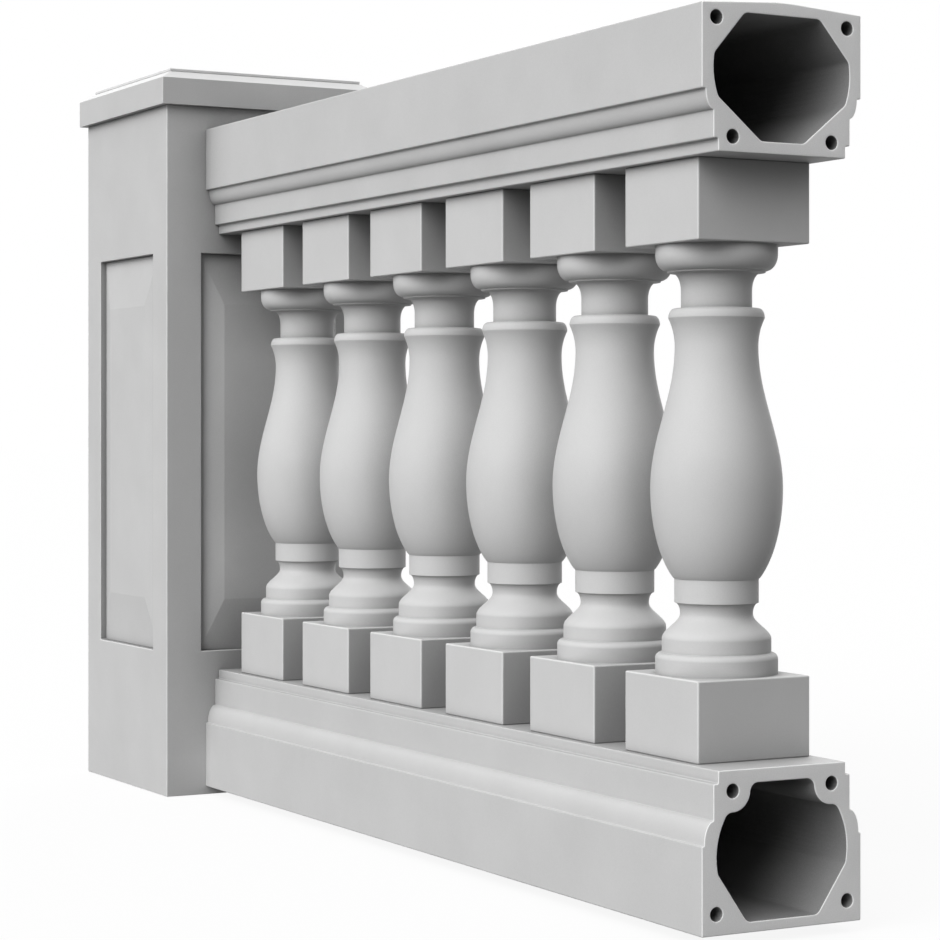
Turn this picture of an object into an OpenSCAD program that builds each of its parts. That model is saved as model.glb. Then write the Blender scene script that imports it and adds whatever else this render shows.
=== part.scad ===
// Composite baluster railing: a panelled hollow newel post, a moulded top rail and bottom rail that
// butt on its face, and a row of turned balusters between them. +X runs along the rails away from the
// post, -Y is the front, +Z is up, and the origin is the centre of the post's foot on the ground.
// All sizes are millimetres.

/* [Newel post] */
// Width of the square post
post_w = 305; // [260:1:420]
// Height of the post's face that shows between the top rail's edge and the cap
cap_gap = 31; // [10:1:150]
// Thickness of each post wall
wall_t = 25; // [20:1:40]
// Width of the flat margin on each side of a recessed panel
stile_w = 51; // [35:1:70]
// Distance that a recessed panel's ends keep from the rails
panel_gap = 26.5; // [5:0.5:60]
// Depth of the pocket that holds a panel
pocket_d = 16; // [12:0.5:18]
// Depth of the panel's edge below the face of the post
reveal_d = 9; // [4:0.5:10]
// Depth of the panel's raised field below the face of the post
field_d = 1.5; // [0:0.5:3]
// Width of the bevel at the sides of a panel
bevel_side = 35; // [15:1:50]
// Height of the bevel at the top and bottom of a panel
bevel_end = 70; // [25:1:110]

/* [Post cap] */
// Distance that the cap's slab stands out past the post on each side
cap_lip = 9.5; // [4:0.5:40]
// Thickness of the cap's slab
cap_t = 36.5; // [20:0.5:60]
// Distance from the slab's edge to the foot of its weathered slope
cap_ledge = 1; // [0.5:0.5:6]
// Height of the weathered slope
slope_h = 10.5; // [4:0.5:30]
// Distance that the slope runs in from each side
slope_run = 16.5; // [6:0.5:60]
// Thickness of the flat plate on top
plate_t = 4; // [2:0.5:12]

/* [Rails] */
// Overall width of both rails
rail_w = 190; // [170:1:240]
// Gap between the ground and the bottom rail
ground_gap = 11; // [5:1:60]
// Height of the upright face on the bottom rail
bottom_fascia_h = 87.5; // [80:0.5:120]
// Height of the upright face on the top rail
top_fascia_h = 83.5; // [78:0.5:120]
// Rise of the top rail's ridge above its edges
crown_rise = 6; // [2:0.5:16]
// Distance that the bottom rail's rounded moulding stands back from the upright face
bottom_quirk = 2.5; // [1:0.1:6]
// Distance that the top rail's rounded moulding stands back from the upright face
top_quirk = 4.5; // [1:0.1:6]
// Distance that the plain band stands back from the upright face
band_in = 13.5; // [10:0.5:17]
// Height of the rounded moulding on the bottom rail
bottom_ovolo_h = 24; // [12:0.5:30]
// Height of the rounded moulding on the top rail
top_ovolo_h = 20; // [12:0.5:30]
// Height of the plain band on the bottom rail
bottom_band_h = 35.5; // [20:0.5:60]
// Height of the plain band on the top rail
top_band_h = 27.5; // [20:0.5:60]
// Distance that the fillet beside the balusters stands back from the band
fillet_in = 5.5; // [2:0.5:10]
// Height of the fillet beside the balusters
fillet_h = 12.5; // [6:0.5:20]

/* [Rail hollows] */
// Thickness of the bottom rail's side walls at their thinnest
bottom_side_wall = 17.5; // [10:0.5:20]
// Thickness of the top rail's side walls at their thinnest
top_side_wall = 14; // [10:0.5:18]
// Thickness of the bottom rail's wall next to the ground
bottom_outer_wall = 10.5; // [6:0.5:16]
// Thickness of the top rail's wall under its upper face, at the rail's edge
top_outer_wall = 7.5; // [6:0.5:14]
// Thickness of the bottom rail's wall under the balusters
bottom_seat_wall = 14; // [8:0.5:18]
// Thickness of the top rail's wall over the balusters
top_seat_wall = 12; // [8:0.5:18]
// Distance from the bottom rail's outer face to the centre of its hollow
bottom_bore_rise = 75; // [68:0.5:80]
// Distance from the top rail's outer face to the centre of its hollow
top_bore_rise = 61.5; // [56:0.5:66]
// Diameter of the screw holes that run along each rail
screw_d = 14; // [8:0.5:17]
// Radius of the round bosses left about the bottom rail's screw holes beside the balusters
boss_r = 21; // [16:0.5:25]
// Distance from the bottom rail's screw holes beside the ground to the sloping walls there
bottom_fascia_web = 23.5; // [16:0.5:26]
// Distance from the top rail's upper screw holes to the sloping walls there
top_fascia_web = 21; // [16:0.5:26]
// Distance from the top rail's screw holes over the balusters to the sloping walls there
top_seat_web = 19; // [16:0.5:24]
// Radius that blends the corners of a hollow
blend_r = 9; // [4:0.5:12]
// Distance from the rail's side to the centres of the screw holes beside its upright face
fascia_screw_in = 17; // [14:0.5:22]
// Distance from the rail's side to the centres of the screw holes beside the balusters
seat_screw_in = 36; // [33:0.5:44]
// Distance from the bottom rail's outer face to the nearer screw holes
bottom_fascia_screw_rise = 21; // [14:0.5:24]
// Distance from the top rail's outer face to the nearer screw holes
top_fascia_screw_rise = 14; // [12:0.5:20]
// Distance from the bottom rail's seat to the nearer screw holes
bottom_seat_screw_rise = 20.5; // [14:0.5:24]
// Distance from the top rail's seat to the nearer screw holes
top_seat_screw_rise = 15; // [13:0.5:20]

/* [Balusters] */
// Number of balusters
baluster_count = 6; // [6:1:6]
// Distance between the centres of neighbouring balusters
pitch = 196; // [170:1:205]
// Distance between the post's face and the first baluster's block
first_gap = 58; // [30:1:90]
// Distance between the last baluster's block and the rails' free end
end_gap = 48; // [20:1:90]
// Height of a baluster, from rail to rail
baluster_h = 599; // [560:1:720]
// Width of the square blocks at a baluster's ends
block_w = 135; // [132:1:150]
// Height of the square blocks at a baluster's ends
block_h = 82; // [60:1:100]
// Radius of the round rings next to the blocks
ring_r = 62.4; // [56:0.2:65]
// Radius of the belly
belly_r = 67.4; // [62:0.2:67.5]
// Radius of the collar under the belly
collar_r = 42.9; // [40:0.1:48]
// Radius of the waist above the belly
waist_r = 42.5; // [40:0.1:48]
// Height that the belly's widest point stands above its collar
belly_rise = 92; // [75:1:110]

/* [Hidden] */

// The sides of the post, as turns from the front face
front = 0;
rail_side = 90;
back = 180;
outer_side = 270;

// Both rails, and the faces of theirs that the balusters meet
bottom_rail_h = bottom_fascia_h + bottom_ovolo_h + bottom_band_h + fillet_h;
top_rail_h = top_fascia_h + top_ovolo_h + top_band_h + fillet_h;
seat_z = ground_gap + bottom_rail_h;
hanger_z = seat_z + baluster_h;
rail_len = first_gap + block_w + (baluster_count - 1) * pitch + end_gap;

// Directions that the sloping walls of the rails' hollows face, in the right-hand half of a section
bottom_fascia_facing = 145;
top_fascia_facing = 139;
top_seat_facing = 231;

// The post reaches over the top rail, and its panels stand between the rails
face_x = post_w / 2;
post_h = hanger_z + top_rail_h + cap_gap;
panel_w = post_w - 2 * stile_w;
panel_z = seat_z + panel_gap;
panel_top_z = hanger_z - panel_gap;
panel_h = panel_top_z - panel_z;
cap_w = post_w + 2 * cap_lip;

// Ring, band, lower ogee and collar, from the lower block up
ring_h = 15.2;
ring_round_h = 6.4;
band_r = 55.6;
band_h = 13.5;
ogee_h = 25.6;
throat_r = 37;
throat_h = 11.3;
collar_h = 24;
// Lip, neck, cove and top ring, from the waist up
flare_h = 28.5;
lip_r = 49.1;
lip_round_r = 6.1;
lip_round_h = 9.7;
neck_r = 36.2;
neck_h = 18.3;
cove_r = 45.3;
cove_h = 17.8;
step_r = 50;
step_h = 1.8;
echinus_h = 17;
top_ring_h = 9;

// The belly is part of an ellipse, so that it meets its collar at an angle
belly_a = 2 * (belly_r - collar_r) - 1;
belly_b = belly_rise / sin(60);
turned_h = baluster_h - 2 * block_h;
belly_z = ring_h + ring_round_h + band_h + ogee_h + throat_h + collar_h + belly_rise;
waist_z = turned_h - top_ring_h - echinus_h - step_h - cove_h - neck_h - lip_round_h - flare_h;

// Points of an elliptical arc about a centre, from one angle to the other
function arc(centre, a, b, from, to, steps = 8) =
    [for (i = [0:steps]) let (t = from + (to - from) * i / steps) centre + [a * cos(t), b * sin(t)]];

// Points of half a cosine wave that leaves one point upright and reaches the other upright
function wave(p, q, steps = 12) =
    [for (i = [1:steps - 1]) let (t = i / steps) [
        p[0] + (q[0] - p[0]) * (1 - cos(180 * t)) / 2,
        p[1] + (q[1] - p[1]) * t
    ]];

// ---------------------------------------------------------------- newel post

// Puts a piece that is drawn at the front of the post on another of its sides
module on_side(turn) {
    rotate([0, 0, turn]) children();
}

// The pocket for the front panel
module panel_pocket() {
    translate([-panel_w / 2, -post_w / 2 - 1, panel_z])
        cube([panel_w, pocket_d + 1, panel_h]);
}

// One L-shaped half of the hollow post, its front wall and its wall beside the rails, mitred at
// both outer edges and with a pocket for a panel in each wall
module post_half() {
    outer = post_w / 2;
    inner = outer - wall_t;
    difference() {
        linear_extrude(post_h)
            polygon([
                [-outer, -outer],
                [outer, -outer],
                [outer, outer],
                [inner, inner],
                [inner, -inner],
                [-inner, -inner]
            ]);
        on_side(front) panel_pocket();
        on_side(rail_side) panel_pocket();
    }
}

// A panel's outline across one of its two directions, with a bevel at each end
module panel_profile(length, bevel) {
    edge_t = pocket_d - reveal_d;
    field_t = pocket_d - field_d;
    polygon([
        [-length / 2, 0],
        [length / 2, 0],
        [length / 2, edge_t],
        [length / 2 - bevel, field_t],
        [-length / 2 + bevel, field_t],
        [-length / 2, edge_t]
    ]);
}

// A raised and fielded panel that fills the pocket of the front wall
module post_panel() {
    translate([0, -post_w / 2 + pocket_d, (panel_z + panel_top_z) / 2])
        rotate([90, 0, 0])
            intersection() {
                translate([0, panel_h / 2, 0])
                    rotate([90, 0, 0])
                        linear_extrude(panel_h) panel_profile(panel_w, bevel_side);
                translate([-panel_w / 2, 0, 0])
                    rotate([90, 0, 90])
                        linear_extrude(panel_w) panel_profile(panel_h, bevel_end);
            }
}

// A profile across the cap, with the weathered slope at both sides
module cap_profile() {
    foot = cap_w / 2 - cap_ledge;
    head = foot - slope_run;
    polygon([
        [-cap_w / 2, 0],
        [cap_w / 2, 0],
        [cap_w / 2, cap_t],
        [foot, cap_t],
        [head, cap_t + slope_h],
        [-head, cap_t + slope_h],
        [-foot, cap_t],
        [-cap_w / 2, cap_t]
    ]);
}

module post_cap_slab() {
    color("gainsboro")
        translate([0, 0, post_h])
            intersection() {
                translate([0, cap_w / 2, 0])
                    rotate([90, 0, 0])
                        linear_extrude(cap_w) cap_profile();
                translate([-cap_w / 2, 0, 0])
                    rotate([90, 0, 90])
                        linear_extrude(cap_w) cap_profile();
            }
}

module post_cap_plate() {
    plate_w = cap_w - 2 * (cap_ledge + slope_run);
    color("whitesmoke")
        translate([-plate_w / 2, -plate_w / 2, post_h + cap_t + slope_h])
            cube([plate_w, plate_w, plate_t]);
}

// --------------------------------------------------------------------- rails

// Right-hand side of a rail's outline, from the outer flat at height 0 to the balusters' seat
function rail_edge(fascia_h, ovolo_h, band_h, quirk) =
    let (
        half = rail_w / 2,
        ovolo_w = band_in - quirk,
        band_half = half - band_in,
        seat_half = band_half - fillet_in,
        ovolo_top = fascia_h + ovolo_h,
        band_top = ovolo_top + band_h
    )
    concat(
        [[half, 0], [half, fascia_h]],
        arc([band_half, fascia_h], ovolo_w, ovolo_h, 0, 90),
        [[band_half, band_top], [seat_half, band_top], [seat_half, band_top + fillet_h]]
    );

function mirrored(points) = [for (i = [len(points) - 1:-1:0]) [-points[i][0], points[i][1]]];

// Ridge of the crown between the rail's two sides, eased where the slopes meet
function crown_ridge() =
    let (slope = atan(crown_rise / (rail_w / 2)), ease_r = 250)
    arc([0, -crown_rise + ease_r / cos(slope)], ease_r, ease_r, 270 - slope, 270 + slope, 4);

// Places of the right-hand screw holes in a rail's section
function fascia_screw(rise) = [rail_w / 2 - fascia_screw_in, rise];
function seat_screw(rail_h, rise) = [rail_w / 2 - seat_screw_in, rail_h - rise];

// Draws a shape of the right-hand side on both sides
module both_sides() {
    children();
    mirror([1, 0]) children();
}

// The four screw holes of a rail's section
module screw_holes(places) {
    both_sides()
        for (place = places)
            translate(place) circle(d = screw_d, $fn = 48);
}

// The solid corner behind a wall that slopes past a screw hole and faces the hollow
module web(place, reach, facing) {
    translate(place)
        rotate(facing)
            translate([reach - rail_w, -rail_w / 4])
                square([rail_w, rail_w / 2]);
}

// The hollow inside a rail: a round bore between two flats, less the corners that hold the screws
module rail_hollow(bore_r, bore_rise, low, high) {
    offset(r = blend_r, $fn = 48)
        offset(delta = -blend_r)
            difference() {
                intersection() {
                    translate([0, bore_rise]) circle(r = bore_r, $fn = 96);
                    translate([-bore_r, low]) square([2 * bore_r, high - low]);
                }
                both_sides() children();
            }
}

// Lays a rail's section along +X from the post's face: the section's width becomes Y, its height Z
module along_rail() {
    translate([face_x, 0, 0])
        rotate([90, 0, 90])
            linear_extrude(rail_len) children();
}

module bottom_rail() {
    edge = rail_edge(bottom_fascia_h, bottom_ovolo_h, bottom_band_h, bottom_quirk);
    low_screw = fascia_screw(bottom_fascia_screw_rise);
    high_screw = seat_screw(bottom_rail_h, bottom_seat_screw_rise);
    bore_r = rail_w / 2 - bottom_side_wall;
    hollow_top = bottom_rail_h - bottom_seat_wall;
    color("lightgray")
        translate([0, 0, ground_gap])
            along_rail()
                difference() {
                    polygon(concat(edge, mirrored(edge)));
                    rail_hollow(bore_r, bottom_bore_rise, bottom_outer_wall, hollow_top) {
                        web(low_screw, bottom_fascia_web, bottom_fascia_facing);
                        translate(high_screw) circle(r = boss_r, $fn = 64);
                    }
                    screw_holes([low_screw, high_screw]);
                }
}

// The top rail is drawn from its outer face down to its seat, and turned over
module top_rail() {
    edge = rail_edge(top_fascia_h, top_ovolo_h, top_band_h, top_quirk);
    outer_screw = fascia_screw(top_fascia_screw_rise);
    inner_screw = seat_screw(top_rail_h, top_seat_screw_rise);
    bore_r = rail_w / 2 - top_side_wall;
    hollow_top = top_rail_h - top_seat_wall;
    color("lightgray")
        translate([0, 0, hanger_z + top_rail_h])
            mirror([0, 0, 1])
                along_rail()
                    difference() {
                        polygon(concat(edge, mirrored(edge), crown_ridge()));
                        rail_hollow(bore_r, top_bore_rise, top_outer_wall, hollow_top) {
                            web(outer_screw, top_fascia_web, top_fascia_facing);
                            web(inner_screw, top_seat_web, top_seat_facing);
                        }
                        screw_holes([outer_screw, inner_screw]);
                    }
}

// ----------------------------------------------------------------- balusters

// Half of the turned outline between the two blocks, from the lower block up
function turned_outline() =
    let (
        z1 = ring_h,
        z2 = z1 + ring_round_h,
        z3 = z2 + band_h,
        z4 = z3 + ogee_h,
        z5 = z4 + throat_h,
        z6 = z5 + collar_h,
        z8 = waist_z + flare_h,
        z9 = z8 + lip_round_h,
        z10 = z9 + neck_h,
        z11 = z10 + cove_h,
        z12 = z11 + step_h,
        flare = lip_r - waist_r,
        sweep_r = (flare_h * flare_h + flare * flare) / (2 * flare)
    )
    concat(
        [[0, 0], [ring_r, 0]],
        arc([band_r, z1], ring_r - band_r, ring_round_h, 0, 90, 6),
        [[band_r, z3]],
        wave([band_r, z3], [throat_r, z4], 10),
        arc([collar_r, z4], collar_r - throat_r, throat_h, 180, 90, 6),
        [[collar_r, z6]],
        arc([belly_r - belly_a, belly_z], belly_a, belly_b, -58, 0, 12),
        wave([belly_r, belly_z], [waist_r, waist_z], 16),
        arc([waist_r + sweep_r, waist_z], sweep_r, sweep_r, 180, 180 - asin(flare_h / sweep_r), 6),
        arc([lip_r - lip_round_r, z8], lip_round_r, lip_round_h, 10, 90, 5),
        [[neck_r, z9]],
        arc([cove_r, z10], cove_r - neck_r, cove_h, 180, 90, 6),
        [[step_r, z11]],
        arc([step_r, z12 + echinus_h], ring_r - step_r, echinus_h, 270, 360, 6),
        [[ring_r, turned_h], [0, turned_h]]
    );

module end_block() {
    translate([-block_w / 2, -block_w / 2, 0]) cube([block_w, block_w, block_h]);
}

// One cast baluster; number 1 stands next to the post
module baluster(number) {
    color("silver")
        translate([face_x + first_gap + block_w / 2 + (number - 1) * pitch, 0, seat_z])
            union() {
                end_block();
                translate([0, 0, block_h])
                    rotate_extrude($fn = 96) polygon(turned_outline());
                translate([0, 0, baluster_h - block_h]) end_block();
            }
}

color("lightgray") on_side(front) post_half();  // post_half_front
color("darkgray") on_side(back) post_half();  // post_half_back
color("silver") on_side(front) post_panel();  // post_panel_front
color("silver") on_side(back) post_panel();  // post_panel_back
color("silver") on_side(rail_side) post_panel();  // post_panel_rail_side
color("silver") on_side(outer_side) post_panel();  // post_panel_outer_side
post_cap_slab();
post_cap_plate();
bottom_rail();
top_rail();
baluster(1);  // baluster_1
baluster(2);  // baluster_2
baluster(3);  // baluster_3
baluster(4);  // baluster_4
baluster(5);  // baluster_5
baluster(6);  // baluster_6
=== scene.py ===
"""Looks for the composite baluster railing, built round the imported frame.

Every place and size comes from the frame's nodes. The post and its cap keep their CAD shapes and get
rounded edges; the rails and the balusters are modelled here in more detail and stand for their nodes.
"""
import math

import bmesh
import bpy
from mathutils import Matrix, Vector


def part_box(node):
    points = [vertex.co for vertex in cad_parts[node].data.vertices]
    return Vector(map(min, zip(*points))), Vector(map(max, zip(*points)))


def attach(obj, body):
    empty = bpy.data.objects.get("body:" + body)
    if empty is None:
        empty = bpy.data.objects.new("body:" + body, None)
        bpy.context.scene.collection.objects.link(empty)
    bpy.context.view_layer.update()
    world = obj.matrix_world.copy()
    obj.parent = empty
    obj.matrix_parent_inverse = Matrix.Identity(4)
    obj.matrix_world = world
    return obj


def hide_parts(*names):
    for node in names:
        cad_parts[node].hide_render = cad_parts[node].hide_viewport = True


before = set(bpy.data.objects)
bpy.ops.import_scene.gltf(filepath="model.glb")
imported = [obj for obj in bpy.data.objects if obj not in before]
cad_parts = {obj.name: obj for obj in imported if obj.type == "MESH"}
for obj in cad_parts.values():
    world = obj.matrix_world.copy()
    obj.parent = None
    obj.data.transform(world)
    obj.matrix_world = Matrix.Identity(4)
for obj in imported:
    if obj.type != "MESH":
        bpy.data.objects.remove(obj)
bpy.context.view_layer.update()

MM = 0.001
BODY = "root"
BALUSTERS = sorted(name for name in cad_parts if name.startswith("baluster_"))
POST_HALVES = ["post_half_front", "post_half_back"]
PANELS = [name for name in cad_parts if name.startswith("post_panel_")]


# ------------------------------------------------------------------ materials

def node_tree(material):
    material.use_nodes = True
    tree = material.node_tree
    tree.nodes.clear()
    return tree


def add_node(tree, kind, **settings):
    """Adds a shader node; settings that name an input set its value, the rest set attributes."""
    node = tree.nodes.new(kind)
    for key, value in settings.items():
        socket = node.inputs.get(key.replace("_", " ").title())
        if socket is not None:
            socket.default_value = value
        else:
            setattr(node, key, value)
    return node


def grey_ramp(tree, source, low, high, start=0.3, end=0.7):
    """Turns a 0 to 1 value into a grey between two levels."""
    ramp = tree.nodes.new("ShaderNodeMapRange")
    ramp.inputs["From Min"].default_value = start
    ramp.inputs["From Max"].default_value = end
    ramp.inputs["To Min"].default_value = low
    ramp.inputs["To Max"].default_value = high
    tree.links.new(source, ramp.inputs["Value"])
    return ramp.outputs["Result"]


def composite(name, level, mottle=0.015, grain=0.25, roughness=0.62, warmth=0.0, occlusion_shade=0.55):
    """Matte cast composite: cloudy grey, a fine orange-peel skin, a few pinholes, and painted shade darkening
    its recesses.
    """
    material = bpy.data.materials.new(name)
    tree = node_tree(material)
    link = tree.links.new
    place = tree.nodes.new("ShaderNodeTexCoord").outputs["Object"]

    clouds = add_node(tree, "ShaderNodeTexNoise", Scale=9.0, Detail=4.0, Roughness=0.55)
    speckle = add_node(tree, "ShaderNodeTexNoise", Scale=900.0, Detail=2.0, Roughness=0.6)
    skin = add_node(tree, "ShaderNodeTexNoise", Scale=420.0, Detail=3.0, Roughness=0.5)
    waves = add_node(tree, "ShaderNodeTexNoise", Scale=24.0, Detail=2.0, Roughness=0.4)
    pores = add_node(tree, "ShaderNodeTexVoronoi", Scale=260.0)
    for texture in (clouds, speckle, skin, waves, pores):
        link(place, texture.inputs["Vector"])

    even = add_node(tree, "ShaderNodeMath", operation="ADD")
    link(grey_ramp(tree, clouds.outputs["Fac"], level - mottle, level + mottle), even.inputs[0])
    link(grey_ramp(tree, speckle.outputs["Fac"], -mottle, mottle), even.inputs[1])
    # Painted shade: where ambient occlusion within 100 mm finds nearby surfaces, in recesses, corners and
    # between parts, the colour is darkened by up to the given share; this fades out between 17 cm and 5 cm above
    # the floor.
    recess = add_node(tree, "ShaderNodeAmbientOcclusion", samples=8, Distance=100 * MM)
    split = tree.nodes.new("ShaderNodeSeparateXYZ")
    link(place, split.inputs[0])
    painted_shade_amount = add_node(tree, "ShaderNodeMath", operation="MULTIPLY")
    link(grey_ramp(tree, recess.outputs["AO"], occlusion_shade, 0.0, 0.3, 0.92), painted_shade_amount.inputs[0])
    link(grey_ramp(tree, split.outputs["Z"], 0.0, 1.0, 0.05, 0.17), painted_shade_amount.inputs[1])
    shade_multiplier = add_node(tree, "ShaderNodeMath", operation="SUBTRACT")
    shade_multiplier.inputs[0].default_value = 1.0
    link(painted_shade_amount.outputs[0], shade_multiplier.inputs[1])
    tone = add_node(tree, "ShaderNodeMath", operation="MULTIPLY")
    link(even.outputs[0], tone.inputs[0])
    link(shade_multiplier.outputs[0], tone.inputs[1])
    colour = tree.nodes.new("ShaderNodeCombineColor")
    for channel, shift in (("Red", warmth), ("Green", 0.0), ("Blue", -warmth)):
        tint = add_node(tree, "ShaderNodeMath", operation="ADD")
        link(tone.outputs[0], tint.inputs[0])
        tint.inputs[1].default_value = shift
        link(tint.outputs[0], colour.inputs[channel])

    pinholes = grey_ramp(tree, pores.outputs["Distance"], 0.0, 1.0, 0.04, 0.16)
    height = add_node(tree, "ShaderNodeMath", operation="MULTIPLY")
    link(skin.outputs["Fac"], height.inputs[0])
    link(pinholes, height.inputs[1])
    fine = add_node(tree, "ShaderNodeBump", Strength=grain, Distance=0.15 * MM)
    link(height.outputs[0], fine.inputs["Height"])
    broad = add_node(tree, "ShaderNodeBump", Strength=0.2, Distance=0.5 * MM)
    link(waves.outputs["Fac"], broad.inputs["Height"])
    link(fine.outputs["Normal"], broad.inputs["Normal"])

    shader = tree.nodes.new("ShaderNodeBsdfPrincipled")
    shader.inputs["Specular IOR Level"].default_value = 0.25
    link(colour.outputs["Color"], shader.inputs["Base Color"])
    link(grey_ramp(tree, clouds.outputs["Fac"], roughness + 0.06, roughness - 0.06),
         shader.inputs["Roughness"])
    link(broad.outputs["Normal"], shader.inputs["Normal"])
    output = tree.nodes.new("ShaderNodeOutputMaterial")
    link(shader.outputs["BSDF"], output.inputs["Surface"])
    return material


LEVEL = 0.50
POST_SKIN = composite("post_skin", LEVEL)
PANEL_SKIN = composite("panel_skin", LEVEL)
CAP_SKIN = composite("cap_skin", LEVEL)
# Painted light: the cap plate and the up-facing faces of the cap slab are made paler to stand for the light
# falling on the top.
CAP_TOP_PAINTED_LIGHT = composite("cap_top_painted_light", LEVEL + 0.17)
RAIL_SKIN = composite("rail_skin", LEVEL)
# Painted light: the rails' free end faces are made paler than the rest to stand for the light they catch.
CUT_END_PAINTED_LIGHT = composite("rail_cut_end_painted_light", LEVEL + 0.27, mottle=0.03, grain=0.5, roughness=0.7)
# Painted shade: the inside of the rails' hollows and screw holes is made dark grey to deepen the shade in them.
HOLLOW_PAINTED_SHADE = composite("rail_hollow_painted_shade", 0.23, mottle=0.02, grain=0.8, roughness=0.85)
# Painted highlight: the rounded edges at the rails' free ends are made paler still, as light lines along the
# arrises.
END_EDGE_HIGHLIGHT = composite("rail_end_edge_painted_highlight", LEVEL + 0.34)
BALUSTER_SKIN = composite("baluster_skin", LEVEL + 0.03)
# Painted highlight: the rounded edges of the post and the baluster blocks are made paler, as thin light lines
# along the arrises.
ARRIS_HIGHLIGHT = composite("painted_arris_highlight", LEVEL + 0.12)


# --------------------------------------------------------------- mesh helpers

def new_object(name, vertices, faces):
    mesh = bpy.data.meshes.new(name)
    mesh.from_pydata([tuple(v) for v in vertices], [], faces)
    mesh.validate()
    item = bpy.data.objects.new(name, mesh)
    bpy.context.scene.collection.objects.link(item)
    return item


def soften(item, width, segments=3, angle=30, material=-1):
    """Rounds the edges sharper than an angle, and shades the flats flat and the rounds smooth."""
    bevel = item.modifiers.new("round_edges", "BEVEL")
    bevel.material = material
    bevel.width = width
    bevel.segments = segments
    bevel.limit_method = "ANGLE"
    bevel.angle_limit = math.radians(angle)
    bevel.harden_normals = True
    for face in item.data.polygons:
        face.use_smooth = True


def weigh_normals(item):
    """Keeps large flats evenly shaded beside their rounded edges."""
    weighted = item.modifiers.new("even_flats", "WEIGHTED_NORMAL")
    weighted.keep_sharp = True
    weighted.weight = 100


def soften_cad(name, width, material, edge):
    """Rounds a CAD node's edges with modifiers, which leave its own mesh as it is."""
    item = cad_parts[name]
    weld = item.modifiers.new("join_corners", "WELD")
    weld.merge_threshold = 0.02 * MM
    flatten = item.modifiers.new("flatten", "DECIMATE")
    flatten.decimate_type = "DISSOLVE"
    flatten.angle_limit = math.radians(1)
    bevel = item.modifiers.new("round_edges", "BEVEL")
    bevel.width = width
    bevel.segments = 3
    bevel.limit_method = "ANGLE"
    bevel.angle_limit = math.radians(8)
    weigh_normals(item)
    for slot in item.material_slots:
        slot.material = material
    item.data.materials.append(edge)
    bevel.material = len(item.material_slots) - 1
    return item


# The post's rounded edges take the paler edge material, a painted highlight.
for name in POST_HALVES:
    soften_cad(name, 1.2 * MM, POST_SKIN, ARRIS_HIGHLIGHT)
for name in PANELS:
    soften_cad(name, 1.0 * MM, PANEL_SKIN, PANEL_SKIN)
# The whole cap plate takes the paler top material, painted light on the cap's top.
soften_cad("post_cap_plate", 0.8 * MM, CAP_TOP_PAINTED_LIGHT, CAP_TOP_PAINTED_LIGHT)


# ------------------------------------------------------------- outline helpers

def arc(cx, cy, a, b, start, end, steps):
    """Points of an elliptical arc, from one angle to the other in degrees."""
    points = []
    for i in range(steps + 1):
        t = math.radians(start + (end - start) * i / steps)
        points.append((cx + a * math.cos(t), cy + b * math.sin(t)))
    return points


def wave(p, q, steps):
    """Half a cosine wave from one point to the other, upright at both."""
    points = []
    for i in range(1, steps):
        t = i / steps
        swing = (1 - math.cos(math.pi * t)) / 2
        points.append((p[0] + (q[0] - p[0]) * swing, p[1] + (q[1] - p[1]) * t))
    return points


def round_corners(points, radius, steps=3, closed=True, turn=25):
    """Replaces each corner that turns more than an angle by a small arc inside it."""
    result = []
    count = len(points)
    for i, corner in enumerate(points):
        if not closed and i in (0, count - 1):
            result.append(corner)
            continue
        here = Vector(corner)
        before = Vector(points[i - 1]) - here
        after = Vector(points[(i + 1) % count]) - here
        if before.length < 1e-9 or after.length < 1e-9:
            continue
        bend = math.pi - before.angle(after)
        if bend < math.radians(turn):
            result.append(corner)
            continue
        reach = min(radius * math.tan(bend / 2), before.length * 0.45, after.length * 0.45)
        start = here + before.normalized() * reach
        end = here + after.normalized() * reach
        for k in range(steps + 1):
            t = k / steps
            point = start.lerp(here, t).lerp(here.lerp(end, t), t)
            result.append((point.x, point.y))
    return result


# -------------------------------------------------------------------- balusters

def turned_outline(height):
    """Half outline of the turned part, in millimetres from the lower block's top."""
    ring, band, throat, collar, belly, waist = 62.4, 55.6, 37.0, 42.9, 67.4, 42.5
    lip, neck, cove, step = 49.1, 36.2, 45.3, 50.0
    z = [0.0]
    for member in (15.2, 6.4, 13.5, 25.6, 11.3, 24.0, 92.0):
        z.append(z[-1] + member)
    belly_z = z[-1]
    top_ring = height - 9.0
    ovolo_z = top_ring - 17.0
    cove_top = ovolo_z - 1.8
    neck_top = cove_top - 17.8
    lip_top = neck_top - 18.3
    lip_z = lip_top - 9.7
    waist_z = lip_z - 28.5
    belly_a = 2 * (belly - collar) - 1
    belly_b = 92.0 / math.sin(math.radians(60))
    sweep = (28.5 ** 2 + (lip - waist) ** 2) / (2 * (lip - waist))
    sweep_angle = math.degrees(math.asin(28.5 / sweep))
    lip_round = 6.1
    return (
        [(ring, 0.0)]
        + arc(band, z[1], ring - band, 6.4, 0, 90, 8)
        + [(band, z[3])]
        + wave((band, z[3]), (throat, z[4]), 16)
        + arc(collar, z[4], collar - throat, 11.3, 180, 90, 8)
        + [(collar, z[6])]
        + arc(belly - belly_a, belly_z, belly_a, belly_b, -58, 0, 20)
        + wave((belly, belly_z), (waist, waist_z), 28)
        + arc(waist + sweep, waist_z, sweep, sweep, 180, 180 - sweep_angle, 8)
        + arc(lip - lip_round, lip_z, lip_round, 9.7, 8, 90, 7)
        + [(neck, lip_top), (neck, neck_top)]
        + arc(cove, neck_top, cove - neck, 17.8, 180, 90, 8)[1:]
        + [(step, cove_top)]
        + arc(step, top_ring, ring - step, 17.0, 270, 360, 8)
        + [(ring, height)]
    )


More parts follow.
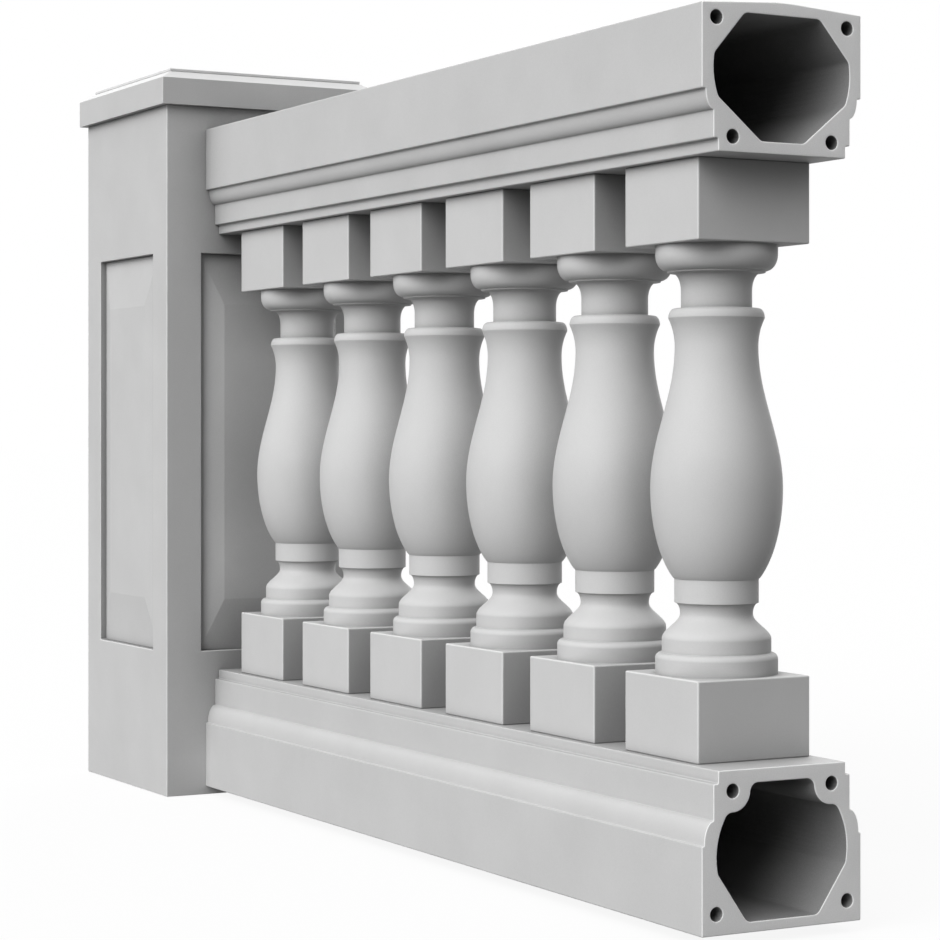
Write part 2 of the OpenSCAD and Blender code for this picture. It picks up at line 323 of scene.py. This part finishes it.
def lathe(name, outline, centre, base_z, segments=96):
    """Turns a closed outline round a vertical axis; its first and last points are capped."""
    vertices, faces = [], []
    for r, z in outline:
        for k in range(segments):
            t = math.tau * k / segments
            vertices.append((centre[0] + r * math.cos(t), centre[1] + r * math.sin(t), base_z + z))
    for i in range(len(outline) - 1):
        for k in range(segments):
            n = (k + 1) % segments
            faces.append((i * segments + k, i * segments + n,
                          (i + 1) * segments + n, (i + 1) * segments + k))
    top = (len(outline) - 1) * segments
    faces.append(tuple(reversed(range(segments))))
    faces.append(tuple(range(top, top + segments)))
    return new_object(name, vertices, faces)


def block(name, low, high):
    """A square block between two corners."""
    corners = [(x, y, z) for z in (low[2], high[2])
               for x, y in ((low[0], low[1]), (high[0], low[1]), (high[0], high[1]), (low[0], high[1]))]
    faces = [(3, 2, 1, 0), (4, 5, 6, 7), (0, 1, 5, 4), (1, 2, 6, 5), (2, 3, 7, 6), (3, 0, 4, 7)]
    return new_object(name, corners, faces)


def join(name, items):
    bpy.ops.object.select_all(action="DESELECT")
    for item in items:
        item.select_set(True)
    bpy.context.view_layer.objects.active = items[0]
    bpy.ops.object.join()
    items[0].name = name
    return items[0]


def shade_by_angle(item, angle=30):
    bpy.ops.object.select_all(action="DESELECT")
    item.select_set(True)
    bpy.context.view_layer.objects.active = item
    bpy.ops.object.shade_smooth_by_angle(angle=math.radians(angle))


def apply_modifiers(item):
    bpy.ops.object.select_all(action="DESELECT")
    item.select_set(True)
    bpy.context.view_layer.objects.active = item
    bpy.ops.object.convert(target="MESH")


BLOCK_H = 82 * MM


def make_baluster(node):
    low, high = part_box(node)
    low, high = Vector(low), Vector(high)
    centre = (low + high) / 2
    blocks = []
    for label, bottom, top in (("lower", low.z, low.z + BLOCK_H), ("upper", high.z - BLOCK_H, high.z)):
        item = block(node + "_" + label, (low.x, low.y, bottom), (high.x, high.y, top))
        for material in (BALUSTER_SKIN, ARRIS_HIGHLIGHT):
            item.data.materials.append(material)
        # The blocks' rounded edges take the paler edge material, a painted highlight.
        soften(item, 1.6 * MM, 3, material=1)
        apply_modifiers(item)
        blocks.append(item)
    turned_h = (high.z - low.z - 2 * BLOCK_H) / MM
    outline = round_corners(turned_outline(turned_h), 0.9, closed=False)
    outline = [(r * MM, z * MM) for r, z in outline]
    shaft = lathe(node + "_shaft", outline, (centre.x, centre.y), low.z + BLOCK_H)
    shaft.data.materials.append(BALUSTER_SKIN)
    piece = join(node + "_cast", [shaft] + blocks)
    shade_by_angle(piece, 35)
    weigh_normals(piece)
    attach(piece, BODY)
    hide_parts(node)
    return piece


for name in BALUSTERS:
    make_baluster(name)


# -------------------------------------------------------------------- cap slab

def make_cap_slab(node):
    """A square slab with upright sides, a narrow ledge and a weathered slope up to the plate."""
    low, high = (Vector(corner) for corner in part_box(node))
    plate_low = Vector(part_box("post_cap_plate")[0])
    middle = (low + high) / 2
    half = (high.x - low.x) / 2
    head = middle.x - plate_low.x
    foot_z = high.z - SLOPE_H
    rows = [(half, low.z), (half, foot_z), (half - LEDGE, foot_z), (head, high.z)]
    vertices, faces = [], []
    for out, z in rows:
        for x, y in ((-1, -1), (1, -1), (1, 1), (-1, 1)):
            vertices.append((middle.x + out * x, middle.y + out * y, z))
    for row in range(len(rows) - 1):
        for k in range(4):
            n = (k + 1) % 4
            a, b = row * 4, (row + 1) * 4
            faces.append((a + k, a + n, b + n, b + k))
    faces += [(3, 2, 1, 0), (12, 13, 14, 15)]
    piece = new_object(node + "_cast", vertices, faces)
    for material in (CAP_SKIN, CAP_TOP_PAINTED_LIGHT):
        piece.data.materials.append(material)
    # Faces that face up, and through the bevel the rounded edges, take the paler top material: painted light on
    # the top and a painted highlight along the edges.
    for face in piece.data.polygons:
        face.material_index = 1 if face.normal.z > 0.5 else 0
    soften(piece, 1.2 * MM, 3, angle=20, material=1)
    weigh_normals(piece)
    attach(piece, BODY)
    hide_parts(node)


SLOPE_H = 10.5 * MM
LEDGE = 1.0 * MM
make_cap_slab("post_cap_slab")


# ------------------------------------------------------------------------ rails

def end_loops(node):
    """The outlines of a rail's free end, as (y, z) points in metres, with the outer one first."""
    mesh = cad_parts[node].data
    end_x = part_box(node)[1][0]
    key = {v.index: (round(v.co.y, 6), round(v.co.z, 6)) for v in mesh.vertices
           if abs(v.co.x - end_x) < 1e-6}
    sides = {}
    for face in mesh.polygons:
        if all(i in key for i in face.vertices):
            corners = [key[i] for i in face.vertices]
            for a, b in zip(corners, corners[1:] + corners[:1]):
                sides[a, b] = sides.get((a, b), 0) + 1
    follow = {a: b for a, b in sides if (b, a) not in sides}
    loops = []
    while follow:
        start = min(follow)
        loop, here = [], start
        while here in follow:
            loop.append(here)
            here = follow.pop(here)
        loops.append(loop)
    return sorted(loops, key=lambda loop: -abs(area(loop)))


def fill_between(vertices, rings):
    """Triangles of the flat end between an outline and its holes."""
    cap = bmesh.new()
    corners = {}
    for ring in rings:
        for i in ring:
            corners[i] = cap.verts.new(vertices[i])
    cap.verts.index_update()
    number = {vert.index: i for i, vert in zip(corners, cap.verts)}
    edges = [cap.edges.new((corners[ring[k - 1]], corners[ring[k]])) for ring in rings for k in range(len(ring))]
    bmesh.ops.triangle_fill(cap, use_beauty=True, edges=edges, normal=(1, 0, 0))
    cap.verts.index_update()
    triangles = [tuple(number[vert.index] for vert in face.verts) for face in cap.faces]
    cap.free()
    return triangles


def area(loop):
    return sum(a[0] * b[1] - b[0] * a[1] for a, b in zip(loop, loop[1:] + loop[:1])) / 2


def inset(loop, distance):
    """Moves an outline into the material, which lies on its left."""
    if distance == 0:
        return loop
    moved = []
    count = len(loop)
    for i in range(count):
        before = Vector(loop[i]) - Vector(loop[i - 1])
        after = Vector(loop[(i + 1) % count]) - Vector(loop[i])
        normal = Vector((-before.y, before.x)).normalized() + Vector((-after.y, after.x)).normalized()
        normal.normalize()
        lean = max(normal.dot(Vector((-after.y, after.x)).normalized()), 0.5)
        moved.append((loop[i][0] + normal.x * distance / lean, loop[i][1] + normal.y * distance / lean))
    return moved


EDGE_R = 1.6 * MM
END_R = 1.2 * MM
END_STEPS = 3


def stations(low_x, high_x):
    """Places along a rail with the outline's inset there, rounded at both ends."""
    rounding = [math.radians(90 * i / END_STEPS) for i in range(END_STEPS + 1)]
    start = [(low_x + END_R * (1 - math.sin(t)), END_R * (1 - math.cos(t))) for t in reversed(rounding)]
    end = [(high_x - END_R * (1 - math.sin(t)), END_R * (1 - math.cos(t))) for t in rounding]
    return [(x, d) for x, d in start] + [(x, d) for x, d in end]


def make_rail(node):
    low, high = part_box(node)
    loops = end_loops(node)
    outline = [loops[0] if area(loops[0]) > 0 else loops[0][::-1]]
    outline[0] = round_corners(outline[0], EDGE_R, 3)
    for hole in loops[1:]:
        outline.append(hole if area(hole) < 0 else hole[::-1])
    vertices, faces, kinds = [], [], []
    rows = stations(low[0], high[0])
    first_rows, last_rows = [], []
    # Loops after the first are the hollow and the screw holes; their sides take kind 2, the darker material that
    # paints shade inside them.
    for number, loop in enumerate(outline):
        base = len(vertices)
        count = len(loop)
        for x, distance in rows:
            vertices += [(x, y, z) for y, z in inset(loop, distance)]
        for row in range(len(rows) - 1):
            for i in range(count):
                n = (i + 1) % count
                a, b = base + row * count, base + (row + 1) * count
                faces.append((a + i, a + n, b + n, b + i))
                rounded = abs(rows[row + 1][1] - rows[row][1]) > 0
                # Rows that round off the free end take kind 3, the paler material that paints a highlight there.
                kinds.append(3 if rounded and row > len(rows) / 2 else 0 if number == 0 else 2)
        first_rows.append([base + i for i in range(count)])
        last_rows.append([base + (len(rows) - 1) * count + i for i in range(count)])
    # The free end's faces take kind 1, the paler material that paints light on them.
    for rows_at_end, forward, kind in ((first_rows, False, 0), (last_rows, True, 1)):
        for triangle in fill_between(vertices, rows_at_end):
            pa, pb, pc = (vertices[i] for i in triangle)
            turn = (pb[1] - pa[1]) * (pc[2] - pa[2]) - (pb[2] - pa[2]) * (pc[1] - pa[1])
            faces.append(triangle if (turn > 0) == forward else triangle[::-1])
            kinds.append(kind)
    piece = new_object(node + "_moulding", vertices, faces)
    for material in (RAIL_SKIN, CUT_END_PAINTED_LIGHT, HOLLOW_PAINTED_SHADE, END_EDGE_HIGHLIGHT):
        piece.data.materials.append(material)
    for face, kind in zip(piece.data.polygons, kinds):
        face.material_index = kind
    shade_by_angle(piece, 35)
    weigh_normals(piece)
    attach(piece, BODY)
    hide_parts(node)
    return piece


for name in ("bottom_rail", "top_rail"):
    make_rail(name)


# ------------------------------------------------------- floor, lights, camera

def seen_directly(tree):
    """1 where a camera, mirror or glass ray looks, and 0 for light that falls on the object."""
    path = tree.nodes.new("ShaderNodeLightPath").outputs
    total = path["Is Camera Ray"]
    for kind in ("Is Glossy Ray", "Is Transmission Ray"):
        either = add_node(tree, "ShaderNodeMath", operation="MAXIMUM")
        tree.links.new(total, either.inputs[0])
        tree.links.new(path[kind], either.inputs[1])
        total = either.outputs[0]
    return total


def make_floor():
    """A pale floor that looks white and keeps a faint shadow, and throws little light back."""
    floor = block("floor", (-60, -60, -0.02), (60, 60, -0.0005))
    material = bpy.data.materials.new("pale_floor")
    tree = node_tree(material)
    link = tree.links.new
    matte = add_node(tree, "ShaderNodeBsdfDiffuse", Color=(FLOOR_BOUNCE,) * 3 + (1,))
    lit = add_node(tree, "ShaderNodeBsdfDiffuse", Color=(0.8, 0.8, 0.8, 1))
    glow = add_node(tree, "ShaderNodeEmission", Color=(1, 1, 1, 1), Strength=1.0)
    white = tree.nodes.new("ShaderNodeMixShader")
    white.inputs["Fac"].default_value = 0.9
    link(lit.outputs[0], white.inputs[1])
    link(glow.outputs[0], white.inputs[2])
    mix = tree.nodes.new("ShaderNodeMixShader")
    link(seen_directly(tree), mix.inputs["Fac"])
    link(matte.outputs[0], mix.inputs[1])
    link(white.outputs[0], mix.inputs[2])
    output = tree.nodes.new("ShaderNodeOutputMaterial")
    link(mix.outputs[0], output.inputs["Surface"])
    floor.data.materials.append(material)


def make_world():
    """White where it is seen; as a light, an overhead softbox that fades towards the horizon."""
    world = bpy.data.worlds.new("studio")
    bpy.context.scene.world = world
    world.use_nodes = True
    tree = world.node_tree
    tree.nodes.clear()
    link = tree.links.new
    split = tree.nodes.new("ShaderNodeSeparateXYZ")
    link(tree.nodes.new("ShaderNodeTexCoord").outputs["Generated"], split.inputs[0])
    dome = add_node(tree, "ShaderNodeBackground", Color=(1, 1, 1, 1))
    link(grey_ramp(tree, split.outputs["Z"], DOME_LOW, DOME_HIGH, 0.0, 1.0), dome.inputs["Strength"])
    white = add_node(tree, "ShaderNodeBackground", Color=(1, 1, 1, 1), Strength=1.0)
    mix = tree.nodes.new("ShaderNodeMixShader")
    link(seen_directly(tree), mix.inputs["Fac"])
    link(dome.outputs[0], mix.inputs[1])
    link(white.outputs[0], mix.inputs[2])
    output = tree.nodes.new("ShaderNodeOutputWorld")
    link(mix.outputs[0], output.inputs["Surface"])


def make_sun(name, azimuth, elevation, strength, spread):
    """A distant soft light that comes from an azimuth, counted from +X, and an elevation."""
    light = bpy.data.lights.new(name, "SUN")
    light.energy = strength
    light.angle = math.radians(spread)
    lamp = bpy.data.objects.new(name, light)
    bpy.context.scene.collection.objects.link(lamp)
    a, e = math.radians(azimuth), math.radians(elevation)
    towards = Vector((math.cos(a) * math.cos(e), math.sin(a) * math.cos(e), math.sin(e)))
    lamp.rotation_euler = towards.to_track_quat("Z", "Y").to_euler()


def make_camera():
    data = bpy.data.cameras.new("camera")
    data.sensor_width = 36
    data.lens = 99.77
    data.shift_y = -0.0419
    camera = bpy.data.objects.new("camera", data)
    camera.location = (3.4656, -1.4941, 0.4993)
    camera.rotation_euler = (math.radians(90), 0, math.radians(61.315))
    bpy.context.scene.collection.objects.link(camera)
    bpy.context.scene.camera = camera


FLOOR_BOUNCE = 0.12
DOME_LOW, DOME_HIGH = 0.12, 0.70
make_floor()
make_world()
make_sun("front_softbox", -74, 33, 3.3, 62)
make_sun("back_fill", 132, 22, 1.2, 60)
make_camera()
bpy.context.scene.view_settings.view_transform = "Standard"
